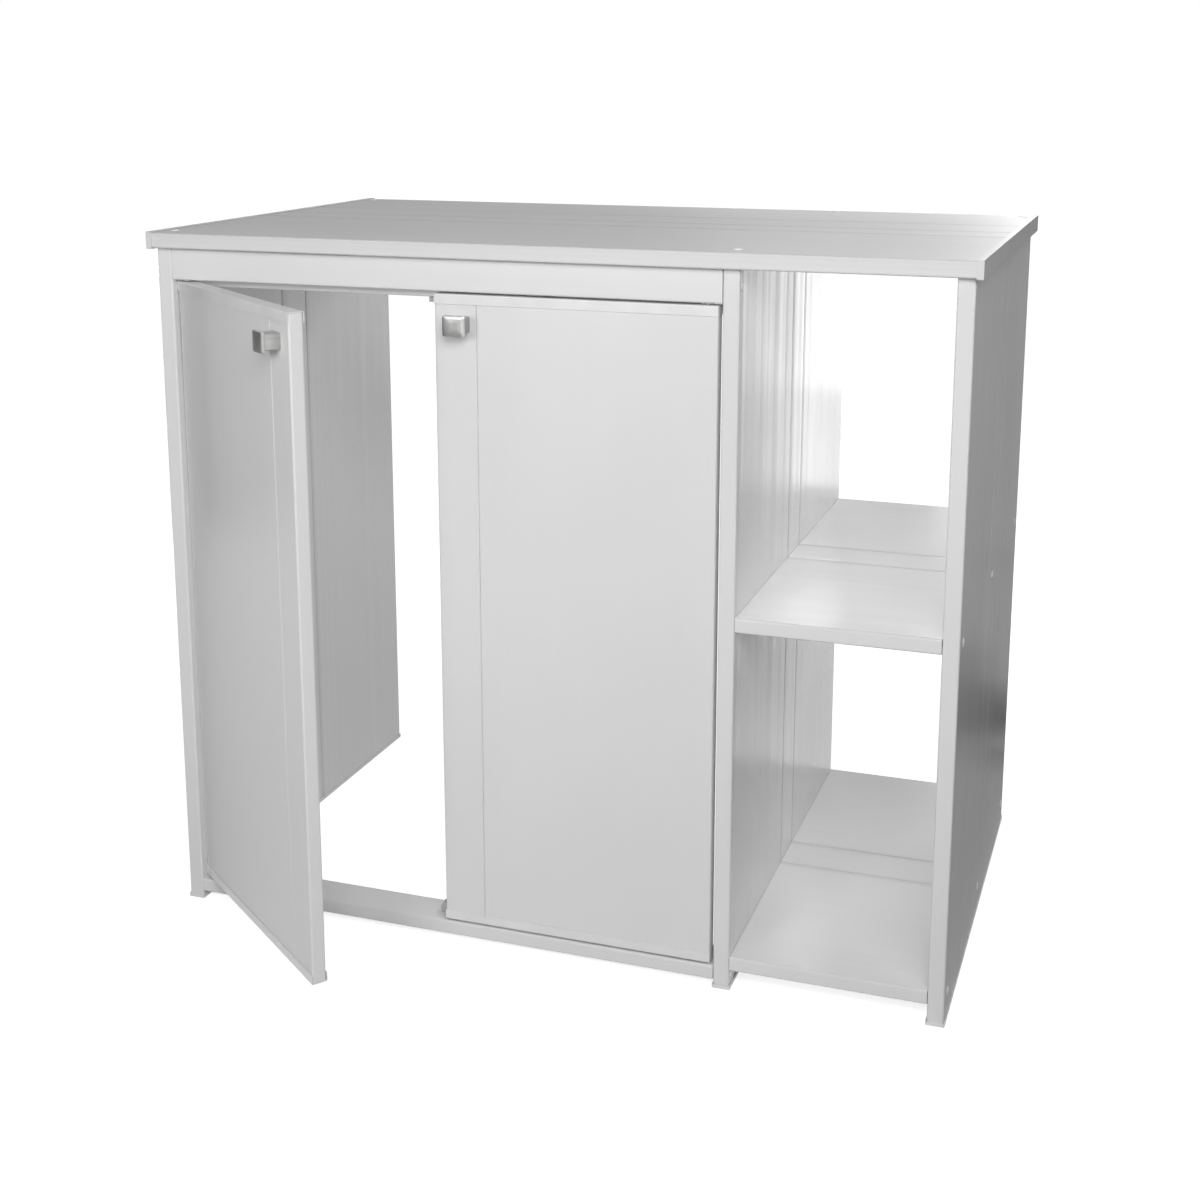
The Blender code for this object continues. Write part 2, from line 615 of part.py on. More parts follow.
def build_door(side, reach, turn, fascia, rail, materials):
    """One door and its pivots. Reach is 1 where the door extends to +X from its pivot axis."""
    post_face = BAY_LEFT if reach > 0 else DIVIDER_LEFT
    axis_x = post_face + reach * (DOOR_SIDE_GAP + PIVOT_INSET)
    hinge = empty_at(f"{side}_door_hinge", (axis_x, DOOR_MIDDLE, 0), turn)
    rotation = laid_along(reach * X_AXIS, reach * Y_AXIS)
    plank_low = DOOR_BOTTOM + CAP_PROUD
    plank_high = DOOR_TOP - CAP_PROUD
    centre_z = (plank_low + plank_high) / 2
    height = plank_high - plank_low
    wide = DOOR_WIDTH - NARROW_PLANK_WIDTH - CLEARANCE

    wide_centre = wide / 2 - PIVOT_INSET
    bm = plank_mesh(wide, DOOR_THICKNESS, height, "free", "groove")
    location = (reach * wide_centre, 0, centre_z)
    make_object(
        f"{side}_door_wide_plank", bm, materials["white_plank"], location, rotation, hinge
    )
    narrow_centre = DOOR_WIDTH - PIVOT_INSET - NARROW_PLANK_WIDTH / 2
    bm = plank_mesh(NARROW_PLANK_WIDTH, DOOR_THICKNESS, height, "tongue", "free")
    location = (reach * narrow_centre, 0, centre_z)
    narrow = make_object(
        f"{side}_door_narrow_plank", bm, materials["white_plank"], location, rotation, hinge
    )

    cap_centre = reach * (DOOR_WIDTH / 2 - PIVOT_INSET)
    outline = channel_outline(DOOR_THICKNESS + 2 * CLEARANCE, DOOR_CAP_LEG - CAP_WALL)
    top_inset = STOP_STRIP_DROP - DOOR_TOP_GAP + STRIKE_BELOW_STOP_STRIP
    top_turn = laid_along(Y_AXIS, Z_AXIS)
    bottom_turn = laid_along(-Y_AXIS, -Z_AXIS)
    ends = (
        ("top", plank_high, 1, top_turn, fascia, FASCIA_BOTTOM, top_inset),
        ("bottom", plank_low, -1, bottom_turn, rail, RAIL_TOP, STRIKE_FROM_DOOR_BOTTOM),
    )
    first_chamber = chamber_spans(wide, "free", "groove")[0]
    chamber = sorted(reach * (wide_centre + limit) for limit in first_chamber)
    for end, plank_end, up, cap_turn, carrier, carrier_face, strike_inset in ends:
        location = (cap_centre, 0, plank_end + up * CLEARANCE)
        bm = extruded([outline], DOOR_WIDTH)
        cap = make_object(
            f"{side}_door_{end}_cap", bm, materials["white_cap"], location, cap_turn, hinge
        )
        hole_reach = CAP_PROUD + CUT_OVERRUN
        hole = cylinder_mesh(PIN_RADIUS + CLEARANCE, -hole_reach, hole_reach)
        cut(cap, cutter(f"{side}_{end}_cap_hole_cutter", hole, (0, 0, plank_end), None, hinge))
        pivot_name = f"{side}_door_{end}_pivot"
        build_pivot(pivot_name, plank_end, up, carrier_face, chamber, hinge, materials)
        bush_at = (axis_x, DOOR_MIDDLE, carrier_face)
        build_bush(f"{side}_{end}_bush", carrier, bush_at, -up, materials)
        strike_z = plank_end + up * (CAP_PROUD - strike_inset - STRIKE_HEIGHT / 2)
        build_strike(f"{side}_door_{end}_strike", reach, strike_z, hinge, materials)
    build_knob(side, narrow, reach, hinge, materials)


def build_strike(name, reach, z, parent, materials):
    """Steel plate on the back of a door's cap, which a catch holds."""
    bm = bmesh.new()
    outline = rounded_rectangle(STRIKE_WIDTH, STRIKE_HEIGHT, STRIKE_CORNER_RADIUS, EDGE_STEPS)
    face = bm.faces.new([bm.verts.new((x, y, 0)) for x, y in outline])
    grown = bmesh.ops.extrude_face_region(bm, geom=[face])
    top = [item for item in grown["geom"] if isinstance(item, bmesh.types.BMVert)]
    bmesh.ops.translate(bm, verts=top, vec=(0, 0, STRIKE_THICKNESS))
    x = reach * (DOOR_WIDTH - PIVOT_INSET - STRIKE_FROM_FREE_EDGE - STRIKE_WIDTH / 2)
    y = DOOR_THICKNESS / 2 + CAP_PROUD + CLEARANCE
    rotation = laid_along(X_AXIS, -Z_AXIS)
    make_object(name, bm, materials["zinc_steel"], (x, y, z), rotation, parent)


def catch_outline(depth, height):
    """Side view of a catch: a block with a raised lip along its rear edge."""
    radius = CATCH_EDGE_RADIUS
    points = arc_points(radius, radius, radius, math.pi, 1.5 * math.pi, EDGE_STEPS)
    points += arc_points(depth - radius, radius, radius, 1.5 * math.pi, 2 * math.pi, EDGE_STEPS)
    points += [(depth, height), (depth - CATCH_LIP_DEPTH, height)]
    points += [(depth - CATCH_LIP_DEPTH, height - CATCH_LIP_HEIGHT)]
    points += [(0, height - CATCH_LIP_HEIGHT)]
    return points


def build_catches(materials):
    """A double magnetic catch under the stop strip and another on the rail, at the meeting line."""
    strike_back = DOOR_THICKNESS + CAP_PROUD + CLEARANCE + STRIKE_THICKNESS
    front = FRONT + strike_back + CLEARANCE
    strip_bottom = FASCIA_BOTTOM - STOP_STRIP_DROP
    lip_top = strip_bottom - CLEARANCE
    bm = extruded([catch_outline(CATCH_DEPTH, TOP_CATCH_HEIGHT)], CATCH_WIDTH)
    location = (BAY_MIDDLE, front, lip_top - TOP_CATCH_HEIGHT + CATCH_LIP_HEIGHT)
    rotation = laid_along(Y_AXIS, Z_AXIS)
    make_object("top_catch", bm, materials["grey_moulding"], location, rotation)

    bm = extruded([catch_outline(CATCH_DEPTH, BOTTOM_CATCH_HEIGHT)], CATCH_WIDTH)
    location = (BAY_MIDDLE, front, RAIL_TOP + CLEARANCE)
    make_object("bottom_catch", bm, materials["grey_moulding"], location, rotation)


def build():
    """Build the whole cabinet."""
    clear_scene()
    materials = make_materials()
    build_upright("left_upright", LEFT_SIDE + UPRIGHT_THICKNESS / 2, materials)
    build_upright("divider", 0.0, materials)
    build_upright("right_upright", RIGHT_SIDE - UPRIGHT_THICKNESS / 2, materials)
    build_shelf("middle_shelf", MIDDLE_SHELF_TOP, materials)
    build_shelf("bottom_shelf", BOTTOM_SHELF_TOP, materials)
    build_worktop(materials)
    fascia, rail = build_front_members(materials)
    build_door("left", 1, -LEFT_DOOR_OPEN_ANGLE, fascia, rail, materials)
    build_door("right", -1, 0.0, fascia, rail, materials)
    build_catches(materials)


build()
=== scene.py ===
"""Looks of a cabinet of hollow white plastic planks: finishes, screw caps, floor, light and camera.

Sizes and places are in metres.
"""
import math

import bmesh
import bpy
from mathutils import Euler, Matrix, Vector


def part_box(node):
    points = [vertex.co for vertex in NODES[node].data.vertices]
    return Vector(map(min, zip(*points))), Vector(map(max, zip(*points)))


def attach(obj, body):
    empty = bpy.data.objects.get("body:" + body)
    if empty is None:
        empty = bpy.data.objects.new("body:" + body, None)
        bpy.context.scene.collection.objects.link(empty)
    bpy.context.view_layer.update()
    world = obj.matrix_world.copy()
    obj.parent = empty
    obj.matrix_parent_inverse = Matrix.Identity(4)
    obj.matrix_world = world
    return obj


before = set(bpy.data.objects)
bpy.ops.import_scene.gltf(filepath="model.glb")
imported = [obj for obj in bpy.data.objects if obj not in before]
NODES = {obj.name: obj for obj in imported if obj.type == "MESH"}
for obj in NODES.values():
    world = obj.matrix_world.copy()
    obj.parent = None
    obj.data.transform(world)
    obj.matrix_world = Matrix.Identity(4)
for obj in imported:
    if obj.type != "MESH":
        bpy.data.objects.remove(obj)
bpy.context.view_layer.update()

# Camera, found from the straight edges in the photograph
PHOTO_SIZE = 1200
FOCAL_PIXELS = 1721.7
PRINCIPAL_ROW = 432
SENSOR_WIDTH = 36.0
CAMERA_PLACE = (0.5088, -2.264, 1.1427)
CAMERA_YAW = math.radians(19.05)
CAMERA_PITCH = math.radians(11.79)

# Angle of the open door, as built
LEFT_DOOR_TURN = -math.radians(38)

# Screw caps
CAP_RADIUS = 0.0055
CAP_RISE = 0.0016
CAP_RIM = 0.0005
CAP_SIDES = 32
CAP_STEPS = 5
CAP_SHARP_ANGLE = math.radians(40)
CAP_FROM_PANEL_EDGE = 0.027
CAP_FROM_FASCIA_FRONT = 0.010

# Seams between planks: reach and depth of the sunk edges, and the painted shade that darkens the planks
# there
SEAM_REACH = 0.013
SEAM_DEPTH = 0.0003
PANEL_SEAM_PAINTED_SHADE = 0.91
WORKTOP_SEAM_PAINTED_SHADE = 0.85

# Colours
WHITE = (0.72, 0.722, 0.72)
# The planks' white darkened by painted shade for the dimmer light on the top, used for the worktop and its
# end caps
WORKTOP_WHITE_PAINTED_SHADE = (0.67, 0.672, 0.67)
# The planks' white lightened as painted light on the door stop strip, against the shadow of the fascia
# above it
STRIP_WHITE_PAINTED_LIGHT = (0.82, 0.822, 0.82)
TRIM_WHITE = (0.74, 0.742, 0.74)
CAP_WHITE = (0.86, 0.862, 0.86)
CATCH_GREY = (0.45, 0.45, 0.45)
NICKEL = (0.44, 0.44, 0.435)
# Pivot pins: metal darkened as painted shade, for the dark gap they stand in
PIN_METAL_PAINTED_SHADE = (0.26, 0.26, 0.26)
ZINC = (0.60, 0.60, 0.61)

# Which axis a texture follows
ALONG_X = 0
ALONG_Y = 1
ALONG_Z = 2

# Finishes of extruded plastic: axis along the length, colour, roughness, specular level,
# share by which the die lines vary the tone, depth of the sinks
EXTRUDED_FINISHES = {
    "upright": (ALONG_Z, WHITE, 0.24, 0.45, 0.012, 0.0010),
    "outer": (ALONG_Z, WHITE, 0.24, 0.45, 0.010, 0.0006),
    "glossy": (ALONG_Z, WHITE, 0.18, 0.42, 0.008, 0.0008),
    "shelf": (ALONG_X, WHITE, 0.22, 0.50, 0.008, 0.0004),
    "worktop": (ALONG_X, WORKTOP_WHITE_PAINTED_SHADE, 0.50, 0.27, 0.032, 0.0005),
    "front": (ALONG_X, WHITE, 0.40, 0.40, 0.003, 0.0002),
    "strip": (ALONG_X, STRIP_WHITE_PAINTED_LIGHT, 0.40, 0.40, 0.004, 0.0002),
    "door": (ALONG_Z, WHITE, 0.40, 0.40, 0.003, 0.0002),
}

# Finishes of moulded plastic: colour, roughness, specular level
MOULDED_FINISHES = {
    "end": (WORKTOP_WHITE_PAINTED_SHADE, 0.46, 0.25),
    "trim": (TRIM_WHITE, 0.34, 0.50),
    "grey": (CATCH_GREY, 0.45, 0.50),
    "screw_cap": (CAP_WHITE, 0.33, 0.50),
}

# Finishes of brushed metal: colour, roughness, angle about z by which the piece is turned
METAL_FINISHES = {
    "left_nickel": (NICKEL, 0.33, LEFT_DOOR_TURN),
    "right_nickel": (NICKEL, 0.33, 0.0),
    "pin": (PIN_METAL_PAINTED_SHADE, 0.45, 0.0),
    "zinc": (ZINC, 0.34, 0.0),
}

# Noise patterns: scale, detail and roughness
DIE_LINES = (110.0, 4.0, 0.6)
SINKS = (34.0, 1.0, 0.4)
CLOUDS = (6.0, 3.0, 0.5)
RIPPLES = (9.0, 1.0, 0.4)
GRAIN = (900.0, 2.0, 0.5)
PATCHES = (30.0, 3.0, 0.5)
BRUSHING = (1400.0, 3.0, 0.6)
SMUDGES = (60.0, 3.0, 0.5)
CARD_CLOUDS = (5.0, 2.0, 0.5)
NOISE_LOW = 0.3
NOISE_HIGH = 0.7

# Extruded plastic: patterns' scale along the length, depths and strengths of bumps, shares of tone
CLOUD_LENGTHWISE = 0.5
RIPPLE_LENGTHWISE = 1.2
LINE_DEPTH = 0.00012
LINE_STRENGTH = 0.5
RIPPLE_STRENGTH = 0.4
CLOUD_TONE = 0.012
PLASTIC_SPREAD = 0.03

# Moulded plastic
PATCH_TONE = 0.03
GRAIN_DEPTH = 0.00005
GRAIN_STRENGTH = 0.4

# Brushed metal
BRUSH_LENGTHWISE = 0.02
BRUSH_DEPTH = 0.00003
BRUSH_STRENGTH = 0.5
BRUSH_TONES = (0.88, 1.1)
METAL_SPREAD = 0.04
FRONT_FACING = 0.7

# Floor and surroundings
FLOOR_SIZE = 60.0
FLOOR_GAP = 0.0005
FLOOR_COLOUR = (0.6, 0.6, 0.6)
FLOOR_ROUGHNESS = 0.9
FLOOR_GLOW = 0.78
GLOW_NEAR = 0.8
GLOW_FAR = 2.6
FLOOR_FLAG = 0.85
FLAG_START = 0.25
FLAG_END = 0.5
AMBIENT = 0.09

# Lamps: name, place, target, width, height and watts
LAMPS = (
    ("front_high_lamp", (0.5, -2.2, 1.9), (-0.1, 0, 0.5), 0.9, 0.9, 24.5),
    ("front_left_lamp", (-0.75, -2.0, 1.2), (-0.4, 0, 0.5), 0.7, 0.7, 11.3),
    ("front_right_lamp", (1.3, -1.9, 1.6), (0.1, 0, 0.7), 0.8, 0.8, 11.4),
    ("back_left_lamp", (-0.3, 1.7, 1.5), (-0.1, 0, 0.6), 0.6, 0.6, 1.4),
    ("back_right_lamp", (0.42, 1.7, 1.5), (0.1, 0, 0.6), 0.6, 0.6, 14.3),
    ("back_low_lamp", (0.3, 2.2, 0.9), (0.1, 0, 0.6), 0.8, 1.2, 2.2),
    ("bay_lamp", (0.27, 1.4, 0.55), (0.13, 0.3, 0.6), 0.2, 0.6, 0.47),
    ("left_side_lamp", (-2.3, 0.9, 0.45), (-0.54, 0, 0.5), 0.9, 0.8, 9.0),
)

# Glowing cards that show in reflections alone, as painted reflections of a darker room: sizes and places,
# brightness, and how far they fade
KNOB_CARD_SIZE = 0.6
KNOB_CARD_DISTANCE = 0.8
KNOB_CARD_FADE = 0.01
LEFT_KNOB_TONE = 0.03
RIGHT_KNOB_TONE = 0.5
RIGHT_KNOB_ASIDE = (-0.18, 0, -0.13)
SIDE_CARD_WIDTH = 1.4
SIDE_CARD_OVERLAP = 0.01
SIDE_CARD_FADE = 0.25
SIDE_WALL_TONE = 0.42
SIDE_FLOOR_TONE = 0.34
SIDE_WALL_PLACE = 0.72
SIDE_WALL_HEIGHT = 2.5
SIDE_FLOOR_DEPTH = 1.32
SIDE_FLOOR_RISE = 0.002
CARD_DARKENING = 6

X_AXIS = Vector((1, 0, 0))
Z_AXIS = Vector((0, 0, 1))


class Nodes:
    """Short calls for building a material's node tree."""

    def __init__(self, name):
        self.material = bpy.data.materials.new(name)
        self.material.use_nodes = True
        self.tree = self.material.node_tree
        self.shader = self.tree.nodes["Principled BSDF"]

    def add(self, kind, values=None, **settings):
        """A node of one kind, with its settings and its inputs, which may be links or plain values."""
        node = self.tree.nodes.new(kind)
        for key, value in settings.items():
            setattr(node, key, value)
        for key, value in (values or {}).items():
            self.feed(node.inputs[key], value)
        return node

    def feed(self, socket, value):
        """Link or set one input."""
        if isinstance(value, bpy.types.NodeSocket):
            self.tree.links.new(value, socket)
        else:
            socket.default_value = value

    def math(self, operation, *values):
        """One sum on two or three values."""
        return self.add("ShaderNodeMath", dict(enumerate(values)), operation=operation).outputs[0]

    def local(self, kind="Object", turn=0.0):
        """Object coordinates or object normals, turned back about z by a piece's angle."""
        source = self.add("ShaderNodeTexCoord").outputs[kind]
        values = {"Vector": source, "Angle": -turn}
        return self.add("ShaderNodeVectorRotate", values, rotation_type="Z_AXIS").outputs[0]

    def place(self, scale, turn=0.0):
        """Object coordinates, stretched along a piece's own axes."""
        values = {"Vector": self.local("Object", turn), "Scale": scale}
        return self.add("ShaderNodeMapping", values).outputs[0]

    def axis(self, vector, index):
        """One component of a vector."""
        return self.add("ShaderNodeSeparateXYZ", {0: vector}).outputs[index]

    def near(self, value, places, reach):
        """1 at the given places and 0 farther than the reach from them."""
        closest = 0.0
        for place in places:
            away = self.math("ABSOLUTE", self.math("SUBTRACT", value, place))
            closest = self.math("MAXIMUM", self.ramp(away, 0.0, reach, 1.0, 0.0), closest)
        return closest

    def noise(self, vector, scale, detail, roughness):
        """Noise between 0 and 1."""
        values = {"Vector": vector, "Scale": scale, "Detail": detail, "Roughness": roughness}
        return self.add("ShaderNodeTexNoise", values).outputs["Fac"]

    def ramp(self, value, low, high, dark, light):
        """Map a value from one range to another, eased and held at both ends."""
        values = {0: value, 1: low, 2: high, 3: dark, 4: light}
        return self.add("ShaderNodeMapRange", values, interpolation_type="SMOOTHSTEP").outputs[0]

    def spread(self, noise, low, high):
        """Map the usual range of a noise to another range."""
        return self.ramp(noise, NOISE_LOW, NOISE_HIGH, low, high)

    def around(self, noise, middle, reach):
        """Map the usual range of a noise to a range about a middle."""
        return self.spread(noise, middle - reach, middle + reach)

    def shade(self, colour, factor):
        """Multiply a colour by a factor."""
        node = self.add("ShaderNodeVectorMath", operation="SCALE")
        self.feed(node.inputs[0], colour)
        self.feed(node.inputs["Scale"], factor)
        return node.outputs[0]

    def bump(self, height, distance, strength=1.0, normal=None):
        """Bump from a height between 0 and 1, whose full step is a distance in metres."""
        node = self.add("ShaderNodeBump", {"Height": height, "Distance": distance, "Strength": strength})
        if normal is not None:
            self.tree.links.new(normal, node.inputs["Normal"])
        return node.outputs[0]

    def finish(self, **inputs):
        """Feed the shader's inputs, named with underscores for spaces, and return the material."""
        for key, value in inputs.items():
            self.feed(self.shader.inputs[key.replace("_", " ")], value)
        return self.material


def across(along, lengthwise=0.0):
    """Texture scale that varies across an extrusion and hardly or not at all along it."""
    return tuple(lengthwise if axis == along else 1.0 for axis in range(3))


def extruded_plastic(name, along, colour, roughness, specular, lines, waves, seams=(), seam_painted_shade=1.0):
    """Extruded white plastic: fine die lines and shallow sinks along its length, faint ripples and marks.

    Lines is the share by which the tone varies, waves the depth of the sinks, and seams holds the
    places along y where the edges of the planks are sunk a little and darkened by painted shade.
    """
    nodes = Nodes(name)
    fine = nodes.noise(nodes.place(across(along)), *DIE_LINES)
    sinks = nodes.noise(nodes.place(across(along)), *SINKS)
    cloud = nodes.noise(nodes.place(across(along, CLOUD_LENGTHWISE)), *CLOUDS)
    ripple = nodes.noise(nodes.place(across(along, RIPPLE_LENGTHWISE)), *RIPPLES)
    tone = nodes.math("ADD", nodes.around(fine, 0.0, lines), 1.0)
    tone = nodes.math("ADD", tone, nodes.around(cloud, 0.0, CLOUD_TONE))
    normal = nodes.bump(fine, LINE_DEPTH, LINE_STRENGTH)
    normal = nodes.bump(sinks, waves, 1.0, normal)
    normal = nodes.bump(ripple, waves, RIPPLE_STRENGTH, normal)
    if seams:
        seam_sink_and_shade = nodes.near(nodes.axis(nodes.local(), ALONG_Y), seams, SEAM_REACH)
        # Painted shade: the tone darkens next to each seam, where shade falls between the planks
        tone = nodes.math("MULTIPLY", tone, nodes.ramp(seam_sink_and_shade, 0.0, 1.0, 1.0, seam_painted_shade))
        normal = nodes.bump(nodes.math("SUBTRACT", 1.0, seam_sink_and_shade), SEAM_DEPTH, 1.0, normal)
    return nodes.finish(
        Base_Color=nodes.shade(colour, tone),
        Roughness=nodes.around(cloud, roughness, PLASTIC_SPREAD),
        Specular_IOR_Level=specular,
        Normal=normal,
    )


def moulded_plastic(name, colour, roughness, specular):
    """Plain moulded plastic with a fine, even grain."""
    nodes = Nodes(name)
    grain = nodes.noise(nodes.place((1, 1, 1)), *GRAIN)
    patches = nodes.noise(nodes.place((1, 1, 1)), *PATCHES)
    return nodes.finish(
        Base_Color=nodes.shade(colour, nodes.around(patches, 1.0, PATCH_TONE)),
        Roughness=nodes.around(patches, roughness, PLASTIC_SPREAD),
        Specular_IOR_Level=specular,
        Normal=nodes.bump(grain, GRAIN_DEPTH, GRAIN_STRENGTH),
    )


def brushed_metal(name, colour, roughness, turn):
    """Metal brushed upright on the faces that look along y and along y on the others.

    Turn is the angle about z by which the piece is turned from these directions.
    """
    nodes = Nodes(name)
    upright = nodes.noise(nodes.place(across(ALONG_Z, BRUSH_LENGTHWISE), turn), *BRUSHING)
    inward = nodes.noise(nodes.place(across(ALONG_Y, BRUSH_LENGTHWISE), turn), *BRUSHING)
    front = nodes.math("ABSOLUTE", nodes.axis(nodes.local("Normal", turn), ALONG_Y))
    front = nodes.math("GREATER_THAN", front, FRONT_FACING)
    lines = nodes.add("ShaderNodeMix", {0: front, 2: inward, 3: upright}).outputs[0]
    smudges = nodes.noise(nodes.place((1, 1, 1)), *SMUDGES)
    return nodes.finish(
        Base_Color=nodes.shade(colour, nodes.spread(lines, *BRUSH_TONES)),
        Metallic=1.0,
        Roughness=nodes.around(smudges, roughness, METAL_SPREAD),
        Normal=nodes.bump(lines, BRUSH_DEPTH, BRUSH_STRENGTH),
    )


def panel_seams():
    """Places along y where an upright's or a shelf's planks meet the joint strip."""
    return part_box("divider_front_plank")[1].y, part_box("divider_rear_plank")[0].y


def worktop_seams():
    """Places along y where the worktop's planks and back strip meet."""
    low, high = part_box("worktop_back_strip")
    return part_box("worktop_front_plank")[1].y, low.y, high.y


def build_finishes():
    """Every finish, by name."""
    seams = {"worktop": (worktop_seams(), WORKTOP_SEAM_PAINTED_SHADE)}
    for name in ("upright", "glossy", "shelf"):
        seams[name] = (panel_seams(), PANEL_SEAM_PAINTED_SHADE)
    finishes = {}
    for name, values in EXTRUDED_FINISHES.items():
        finishes[name] = extruded_plastic(f"{name}_plastic", *values, *seams.get(name, ()))
    for name, values in MOULDED_FINISHES.items():
        finishes[name] = moulded_plastic(f"{name}_plastic", *values)
    for name, values in METAL_FINISHES.items():
        finishes[name] = brushed_metal(f"{name}_finish", *values)
    return finishes


def choose_finish(name):
    """Which finish a solid has."""
    if name.endswith("_end_cap"):
        return "end"
    if name.endswith("_cap"):
        return "trim"
    if name.startswith("worktop_"):
        return "worktop"
    if name in ("divider_joint_strip", "divider_rear_plank"):
        return "glossy"
    if name.startswith("right_upright_"):
        return "outer"
    if name.startswith(("left_upright_", "divider_")):
        return "upright"
    if "_shelf_" in name:
        return "shelf"
    if name in ("fascia", "bottom_rail"):
        return "front"
    if name == "door_stop_strip":
        return "strip"
    if name.endswith("_plank"):
        return "door"
    if name.endswith("_knob"):
        return name.replace("knob", "nickel")
    if name.endswith(("_bush", "_catch")):
        return "grey"
    if name.endswith("_pivot"):
        return "pin"
    return "zinc"


def dress_cabinet(finishes):
    """Give every solid its finish."""
    for name, node in NODES.items():
        node.material_slots[0].material = finishes[choose_finish(name)]


def screw_cap_mesh():
    """A low round dome on a short rim, with its base at z = 0."""
    bm = bmesh.new()
    profile = [(CAP_RADIUS, 0.0), (CAP_RADIUS, CAP_RIM)]
    for step in range(1, CAP_STEPS + 1):
        angle = math.pi / 2 * step / (CAP_STEPS + 1)
        profile.append((CAP_RADIUS * math.cos(angle), CAP_RIM + (CAP_RISE - CAP_RIM) * math.sin(angle)))
    rings = []
    for radius, height in profile:
        ring = []
        for side in range(CAP_SIDES):
            angle = 2 * math.pi * side / CAP_SIDES
            ring.append(bm.verts.new((radius * math.cos(angle), radius * math.sin(angle), height)))
        rings.append(ring)
    bm.faces.new(list(reversed(rings[0])))
    for lower, upper in zip(rings, rings[1:]):
        for i in range(CAP_SIDES):
            bm.faces.new((lower[i - 1], lower[i], upper[i], upper[i - 1]))
    bm.faces.new(rings[-1])
    mesh = bpy.data.meshes.new("screw_cap")
    bm.to_mesh(mesh)
    bm.free()
    mesh.shade_smooth()
    mesh.set_sharp_from_angle(angle=CAP_SHARP_ANGLE)
    return mesh


def screw_cap_places():
    """Name, place and outward direction of each screw cap."""
    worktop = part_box("worktop_front_plank")
    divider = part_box("divider_front_plank")
    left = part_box("left_upright_front_plank")
    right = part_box("right_upright_front_plank")
    front = left[0].y + CAP_FROM_PANEL_EDGE
    places = []
    for name, (low, high), depths in (
        ("left", left, (front, -front)),
        ("divider", divider, (front, -front)),
        ("right", right, (-front,)),
    ):
        for index, y in enumerate(depths):
            place = Vector(((low.x + high.x) / 2, y, worktop[1].z))
            places.append((f"{name}_worktop_cap_{index}", place, Z_AXIS))
    for name in ("middle", "bottom"):
        low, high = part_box(f"{name}_shelf_front_plank")
        for index, y in enumerate((front, 0.0, -front)):
            place = Vector((right[1].x, y, (low.z + high.z) / 2))
            places.append((f"{name}_shelf_cap_{index}", place, X_AXIS))
    for name, solid in (("fascia", "fascia"), ("rail", "bottom_rail")):
        low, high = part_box(solid)
        y = low.y + CAP_FROM_FASCIA_FRONT
        z = (low.z + high.z) / 2
        places.append((f"{name}_right_cap", Vector((divider[1].x, y, z)), X_AXIS))
        places.append((f"{name}_left_cap", Vector((left[0].x, y, z)), -X_AXIS))
    return places


def screw_caps(material):
    """White caps over the screws that hold the panels together."""
    mesh = screw_cap_mesh()
    for name, place, outward in screw_cap_places():
        cap = bpy.data.objects.new(name, mesh.copy())
        cap.data.materials.append(material)
        cap.rotation_mode = "QUATERNION"
        cap.rotation_quaternion = outward.to_track_quat("Z", "Y")
        cap.location = place
        bpy.context.scene.collection.objects.link(cap)
        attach(cap, "cabinet")


def build_floor():
    """A wide pale floor that runs out into white but keeps the shadow near the object.

    On the right it sends less light back, as a dark flag laid there would.
    """
    bpy.ops.mesh.primitive_plane_add(size=FLOOR_SIZE, location=(0, 0, -FLOOR_GAP))
    floor = bpy.context.object
    floor.name = "floor"
    nodes = Nodes("floor_finish")
    place = nodes.local()
    away = nodes.add("ShaderNodeVectorMath", {0: place}, operation="LENGTH").outputs["Value"]
    glow = nodes.ramp(away, GLOW_NEAR, GLOW_FAR, FLOOR_GLOW, 1.0)
    path = nodes.add("ShaderNodeLightPath")
    flag = nodes.ramp(nodes.axis(place, ALONG_X), FLAG_START, FLAG_END, 0.0, FLOOR_FLAG)
    bounce = nodes.math("SUBTRACT", 1.0, nodes.math("MULTIPLY", flag, path.outputs["Is Diffuse Ray"]))
    colour = nodes.shade(FLOOR_COLOUR, bounce)
    nodes.finish(Base_Color=colour, Roughness=FLOOR_ROUGHNESS, Specular_IOR_Level=0.0)
    seen = nodes.math("MAXIMUM", path.outputs["Is Camera Ray"], path.outputs["Is Glossy Ray"])
    seen = nodes.math("MAXIMUM", seen, path.outputs["Is Transmission Ray"])
    white = nodes.add("ShaderNodeEmission", {"Strength": nodes.math("MULTIPLY", glow, seen)})
    both = nodes.add("ShaderNodeAddShader", {0: nodes.shader.outputs[0], 1: white.outputs[0]})
    nodes.feed(nodes.tree.nodes["Material Output"].inputs["Surface"], both.outputs[0])
    floor.data.materials.append(nodes.material)


def build_card(name, place, rotation, width, height, tone, fade):
    """A glowing card seen in reflections alone, a painted reflection of a grey surface, which darkens over
    the fade's length at its lower edge.
    """
    bpy.ops.mesh.primitive_plane_add(size=1.0, location=place, rotation=rotation)
    card = bpy.context.object
    card.name = name
    card.scale = (width, height, 1.0)
    nodes = Nodes(name + "_painted_reflection")
    upward = nodes.math("MULTIPLY_ADD", nodes.axis(nodes.local(), ALONG_Y), height, height / 2)
    cloud = nodes.noise(nodes.place((width, height, 1.0)), *CARD_CLOUDS)
    upward = nodes.math("ADD", upward, nodes.around(cloud, 0.0, fade / 2))
    card.data.materials.append(
        nodes.finish(
            Base_Color=(0, 0, 0, 1),
            Specular_IOR_Level=0.0,
            Emission_Color=(1, 1, 1, 1),
            Emission_Strength=nodes.ramp(upward, 0.0, fade, tone / CARD_DARKENING, tone),
        )
    )
    for ray in ("camera", "diffuse", "transmission", "volume_scatter", "shadow"):
        setattr(card, f"visible_{ray}", False)


def facing(place, target, front):
    """Rotation that turns an object's front axis from a place to a target."""
    return (Vector(target) - Vector(place)).to_track_quat(front, "Y").to_euler()


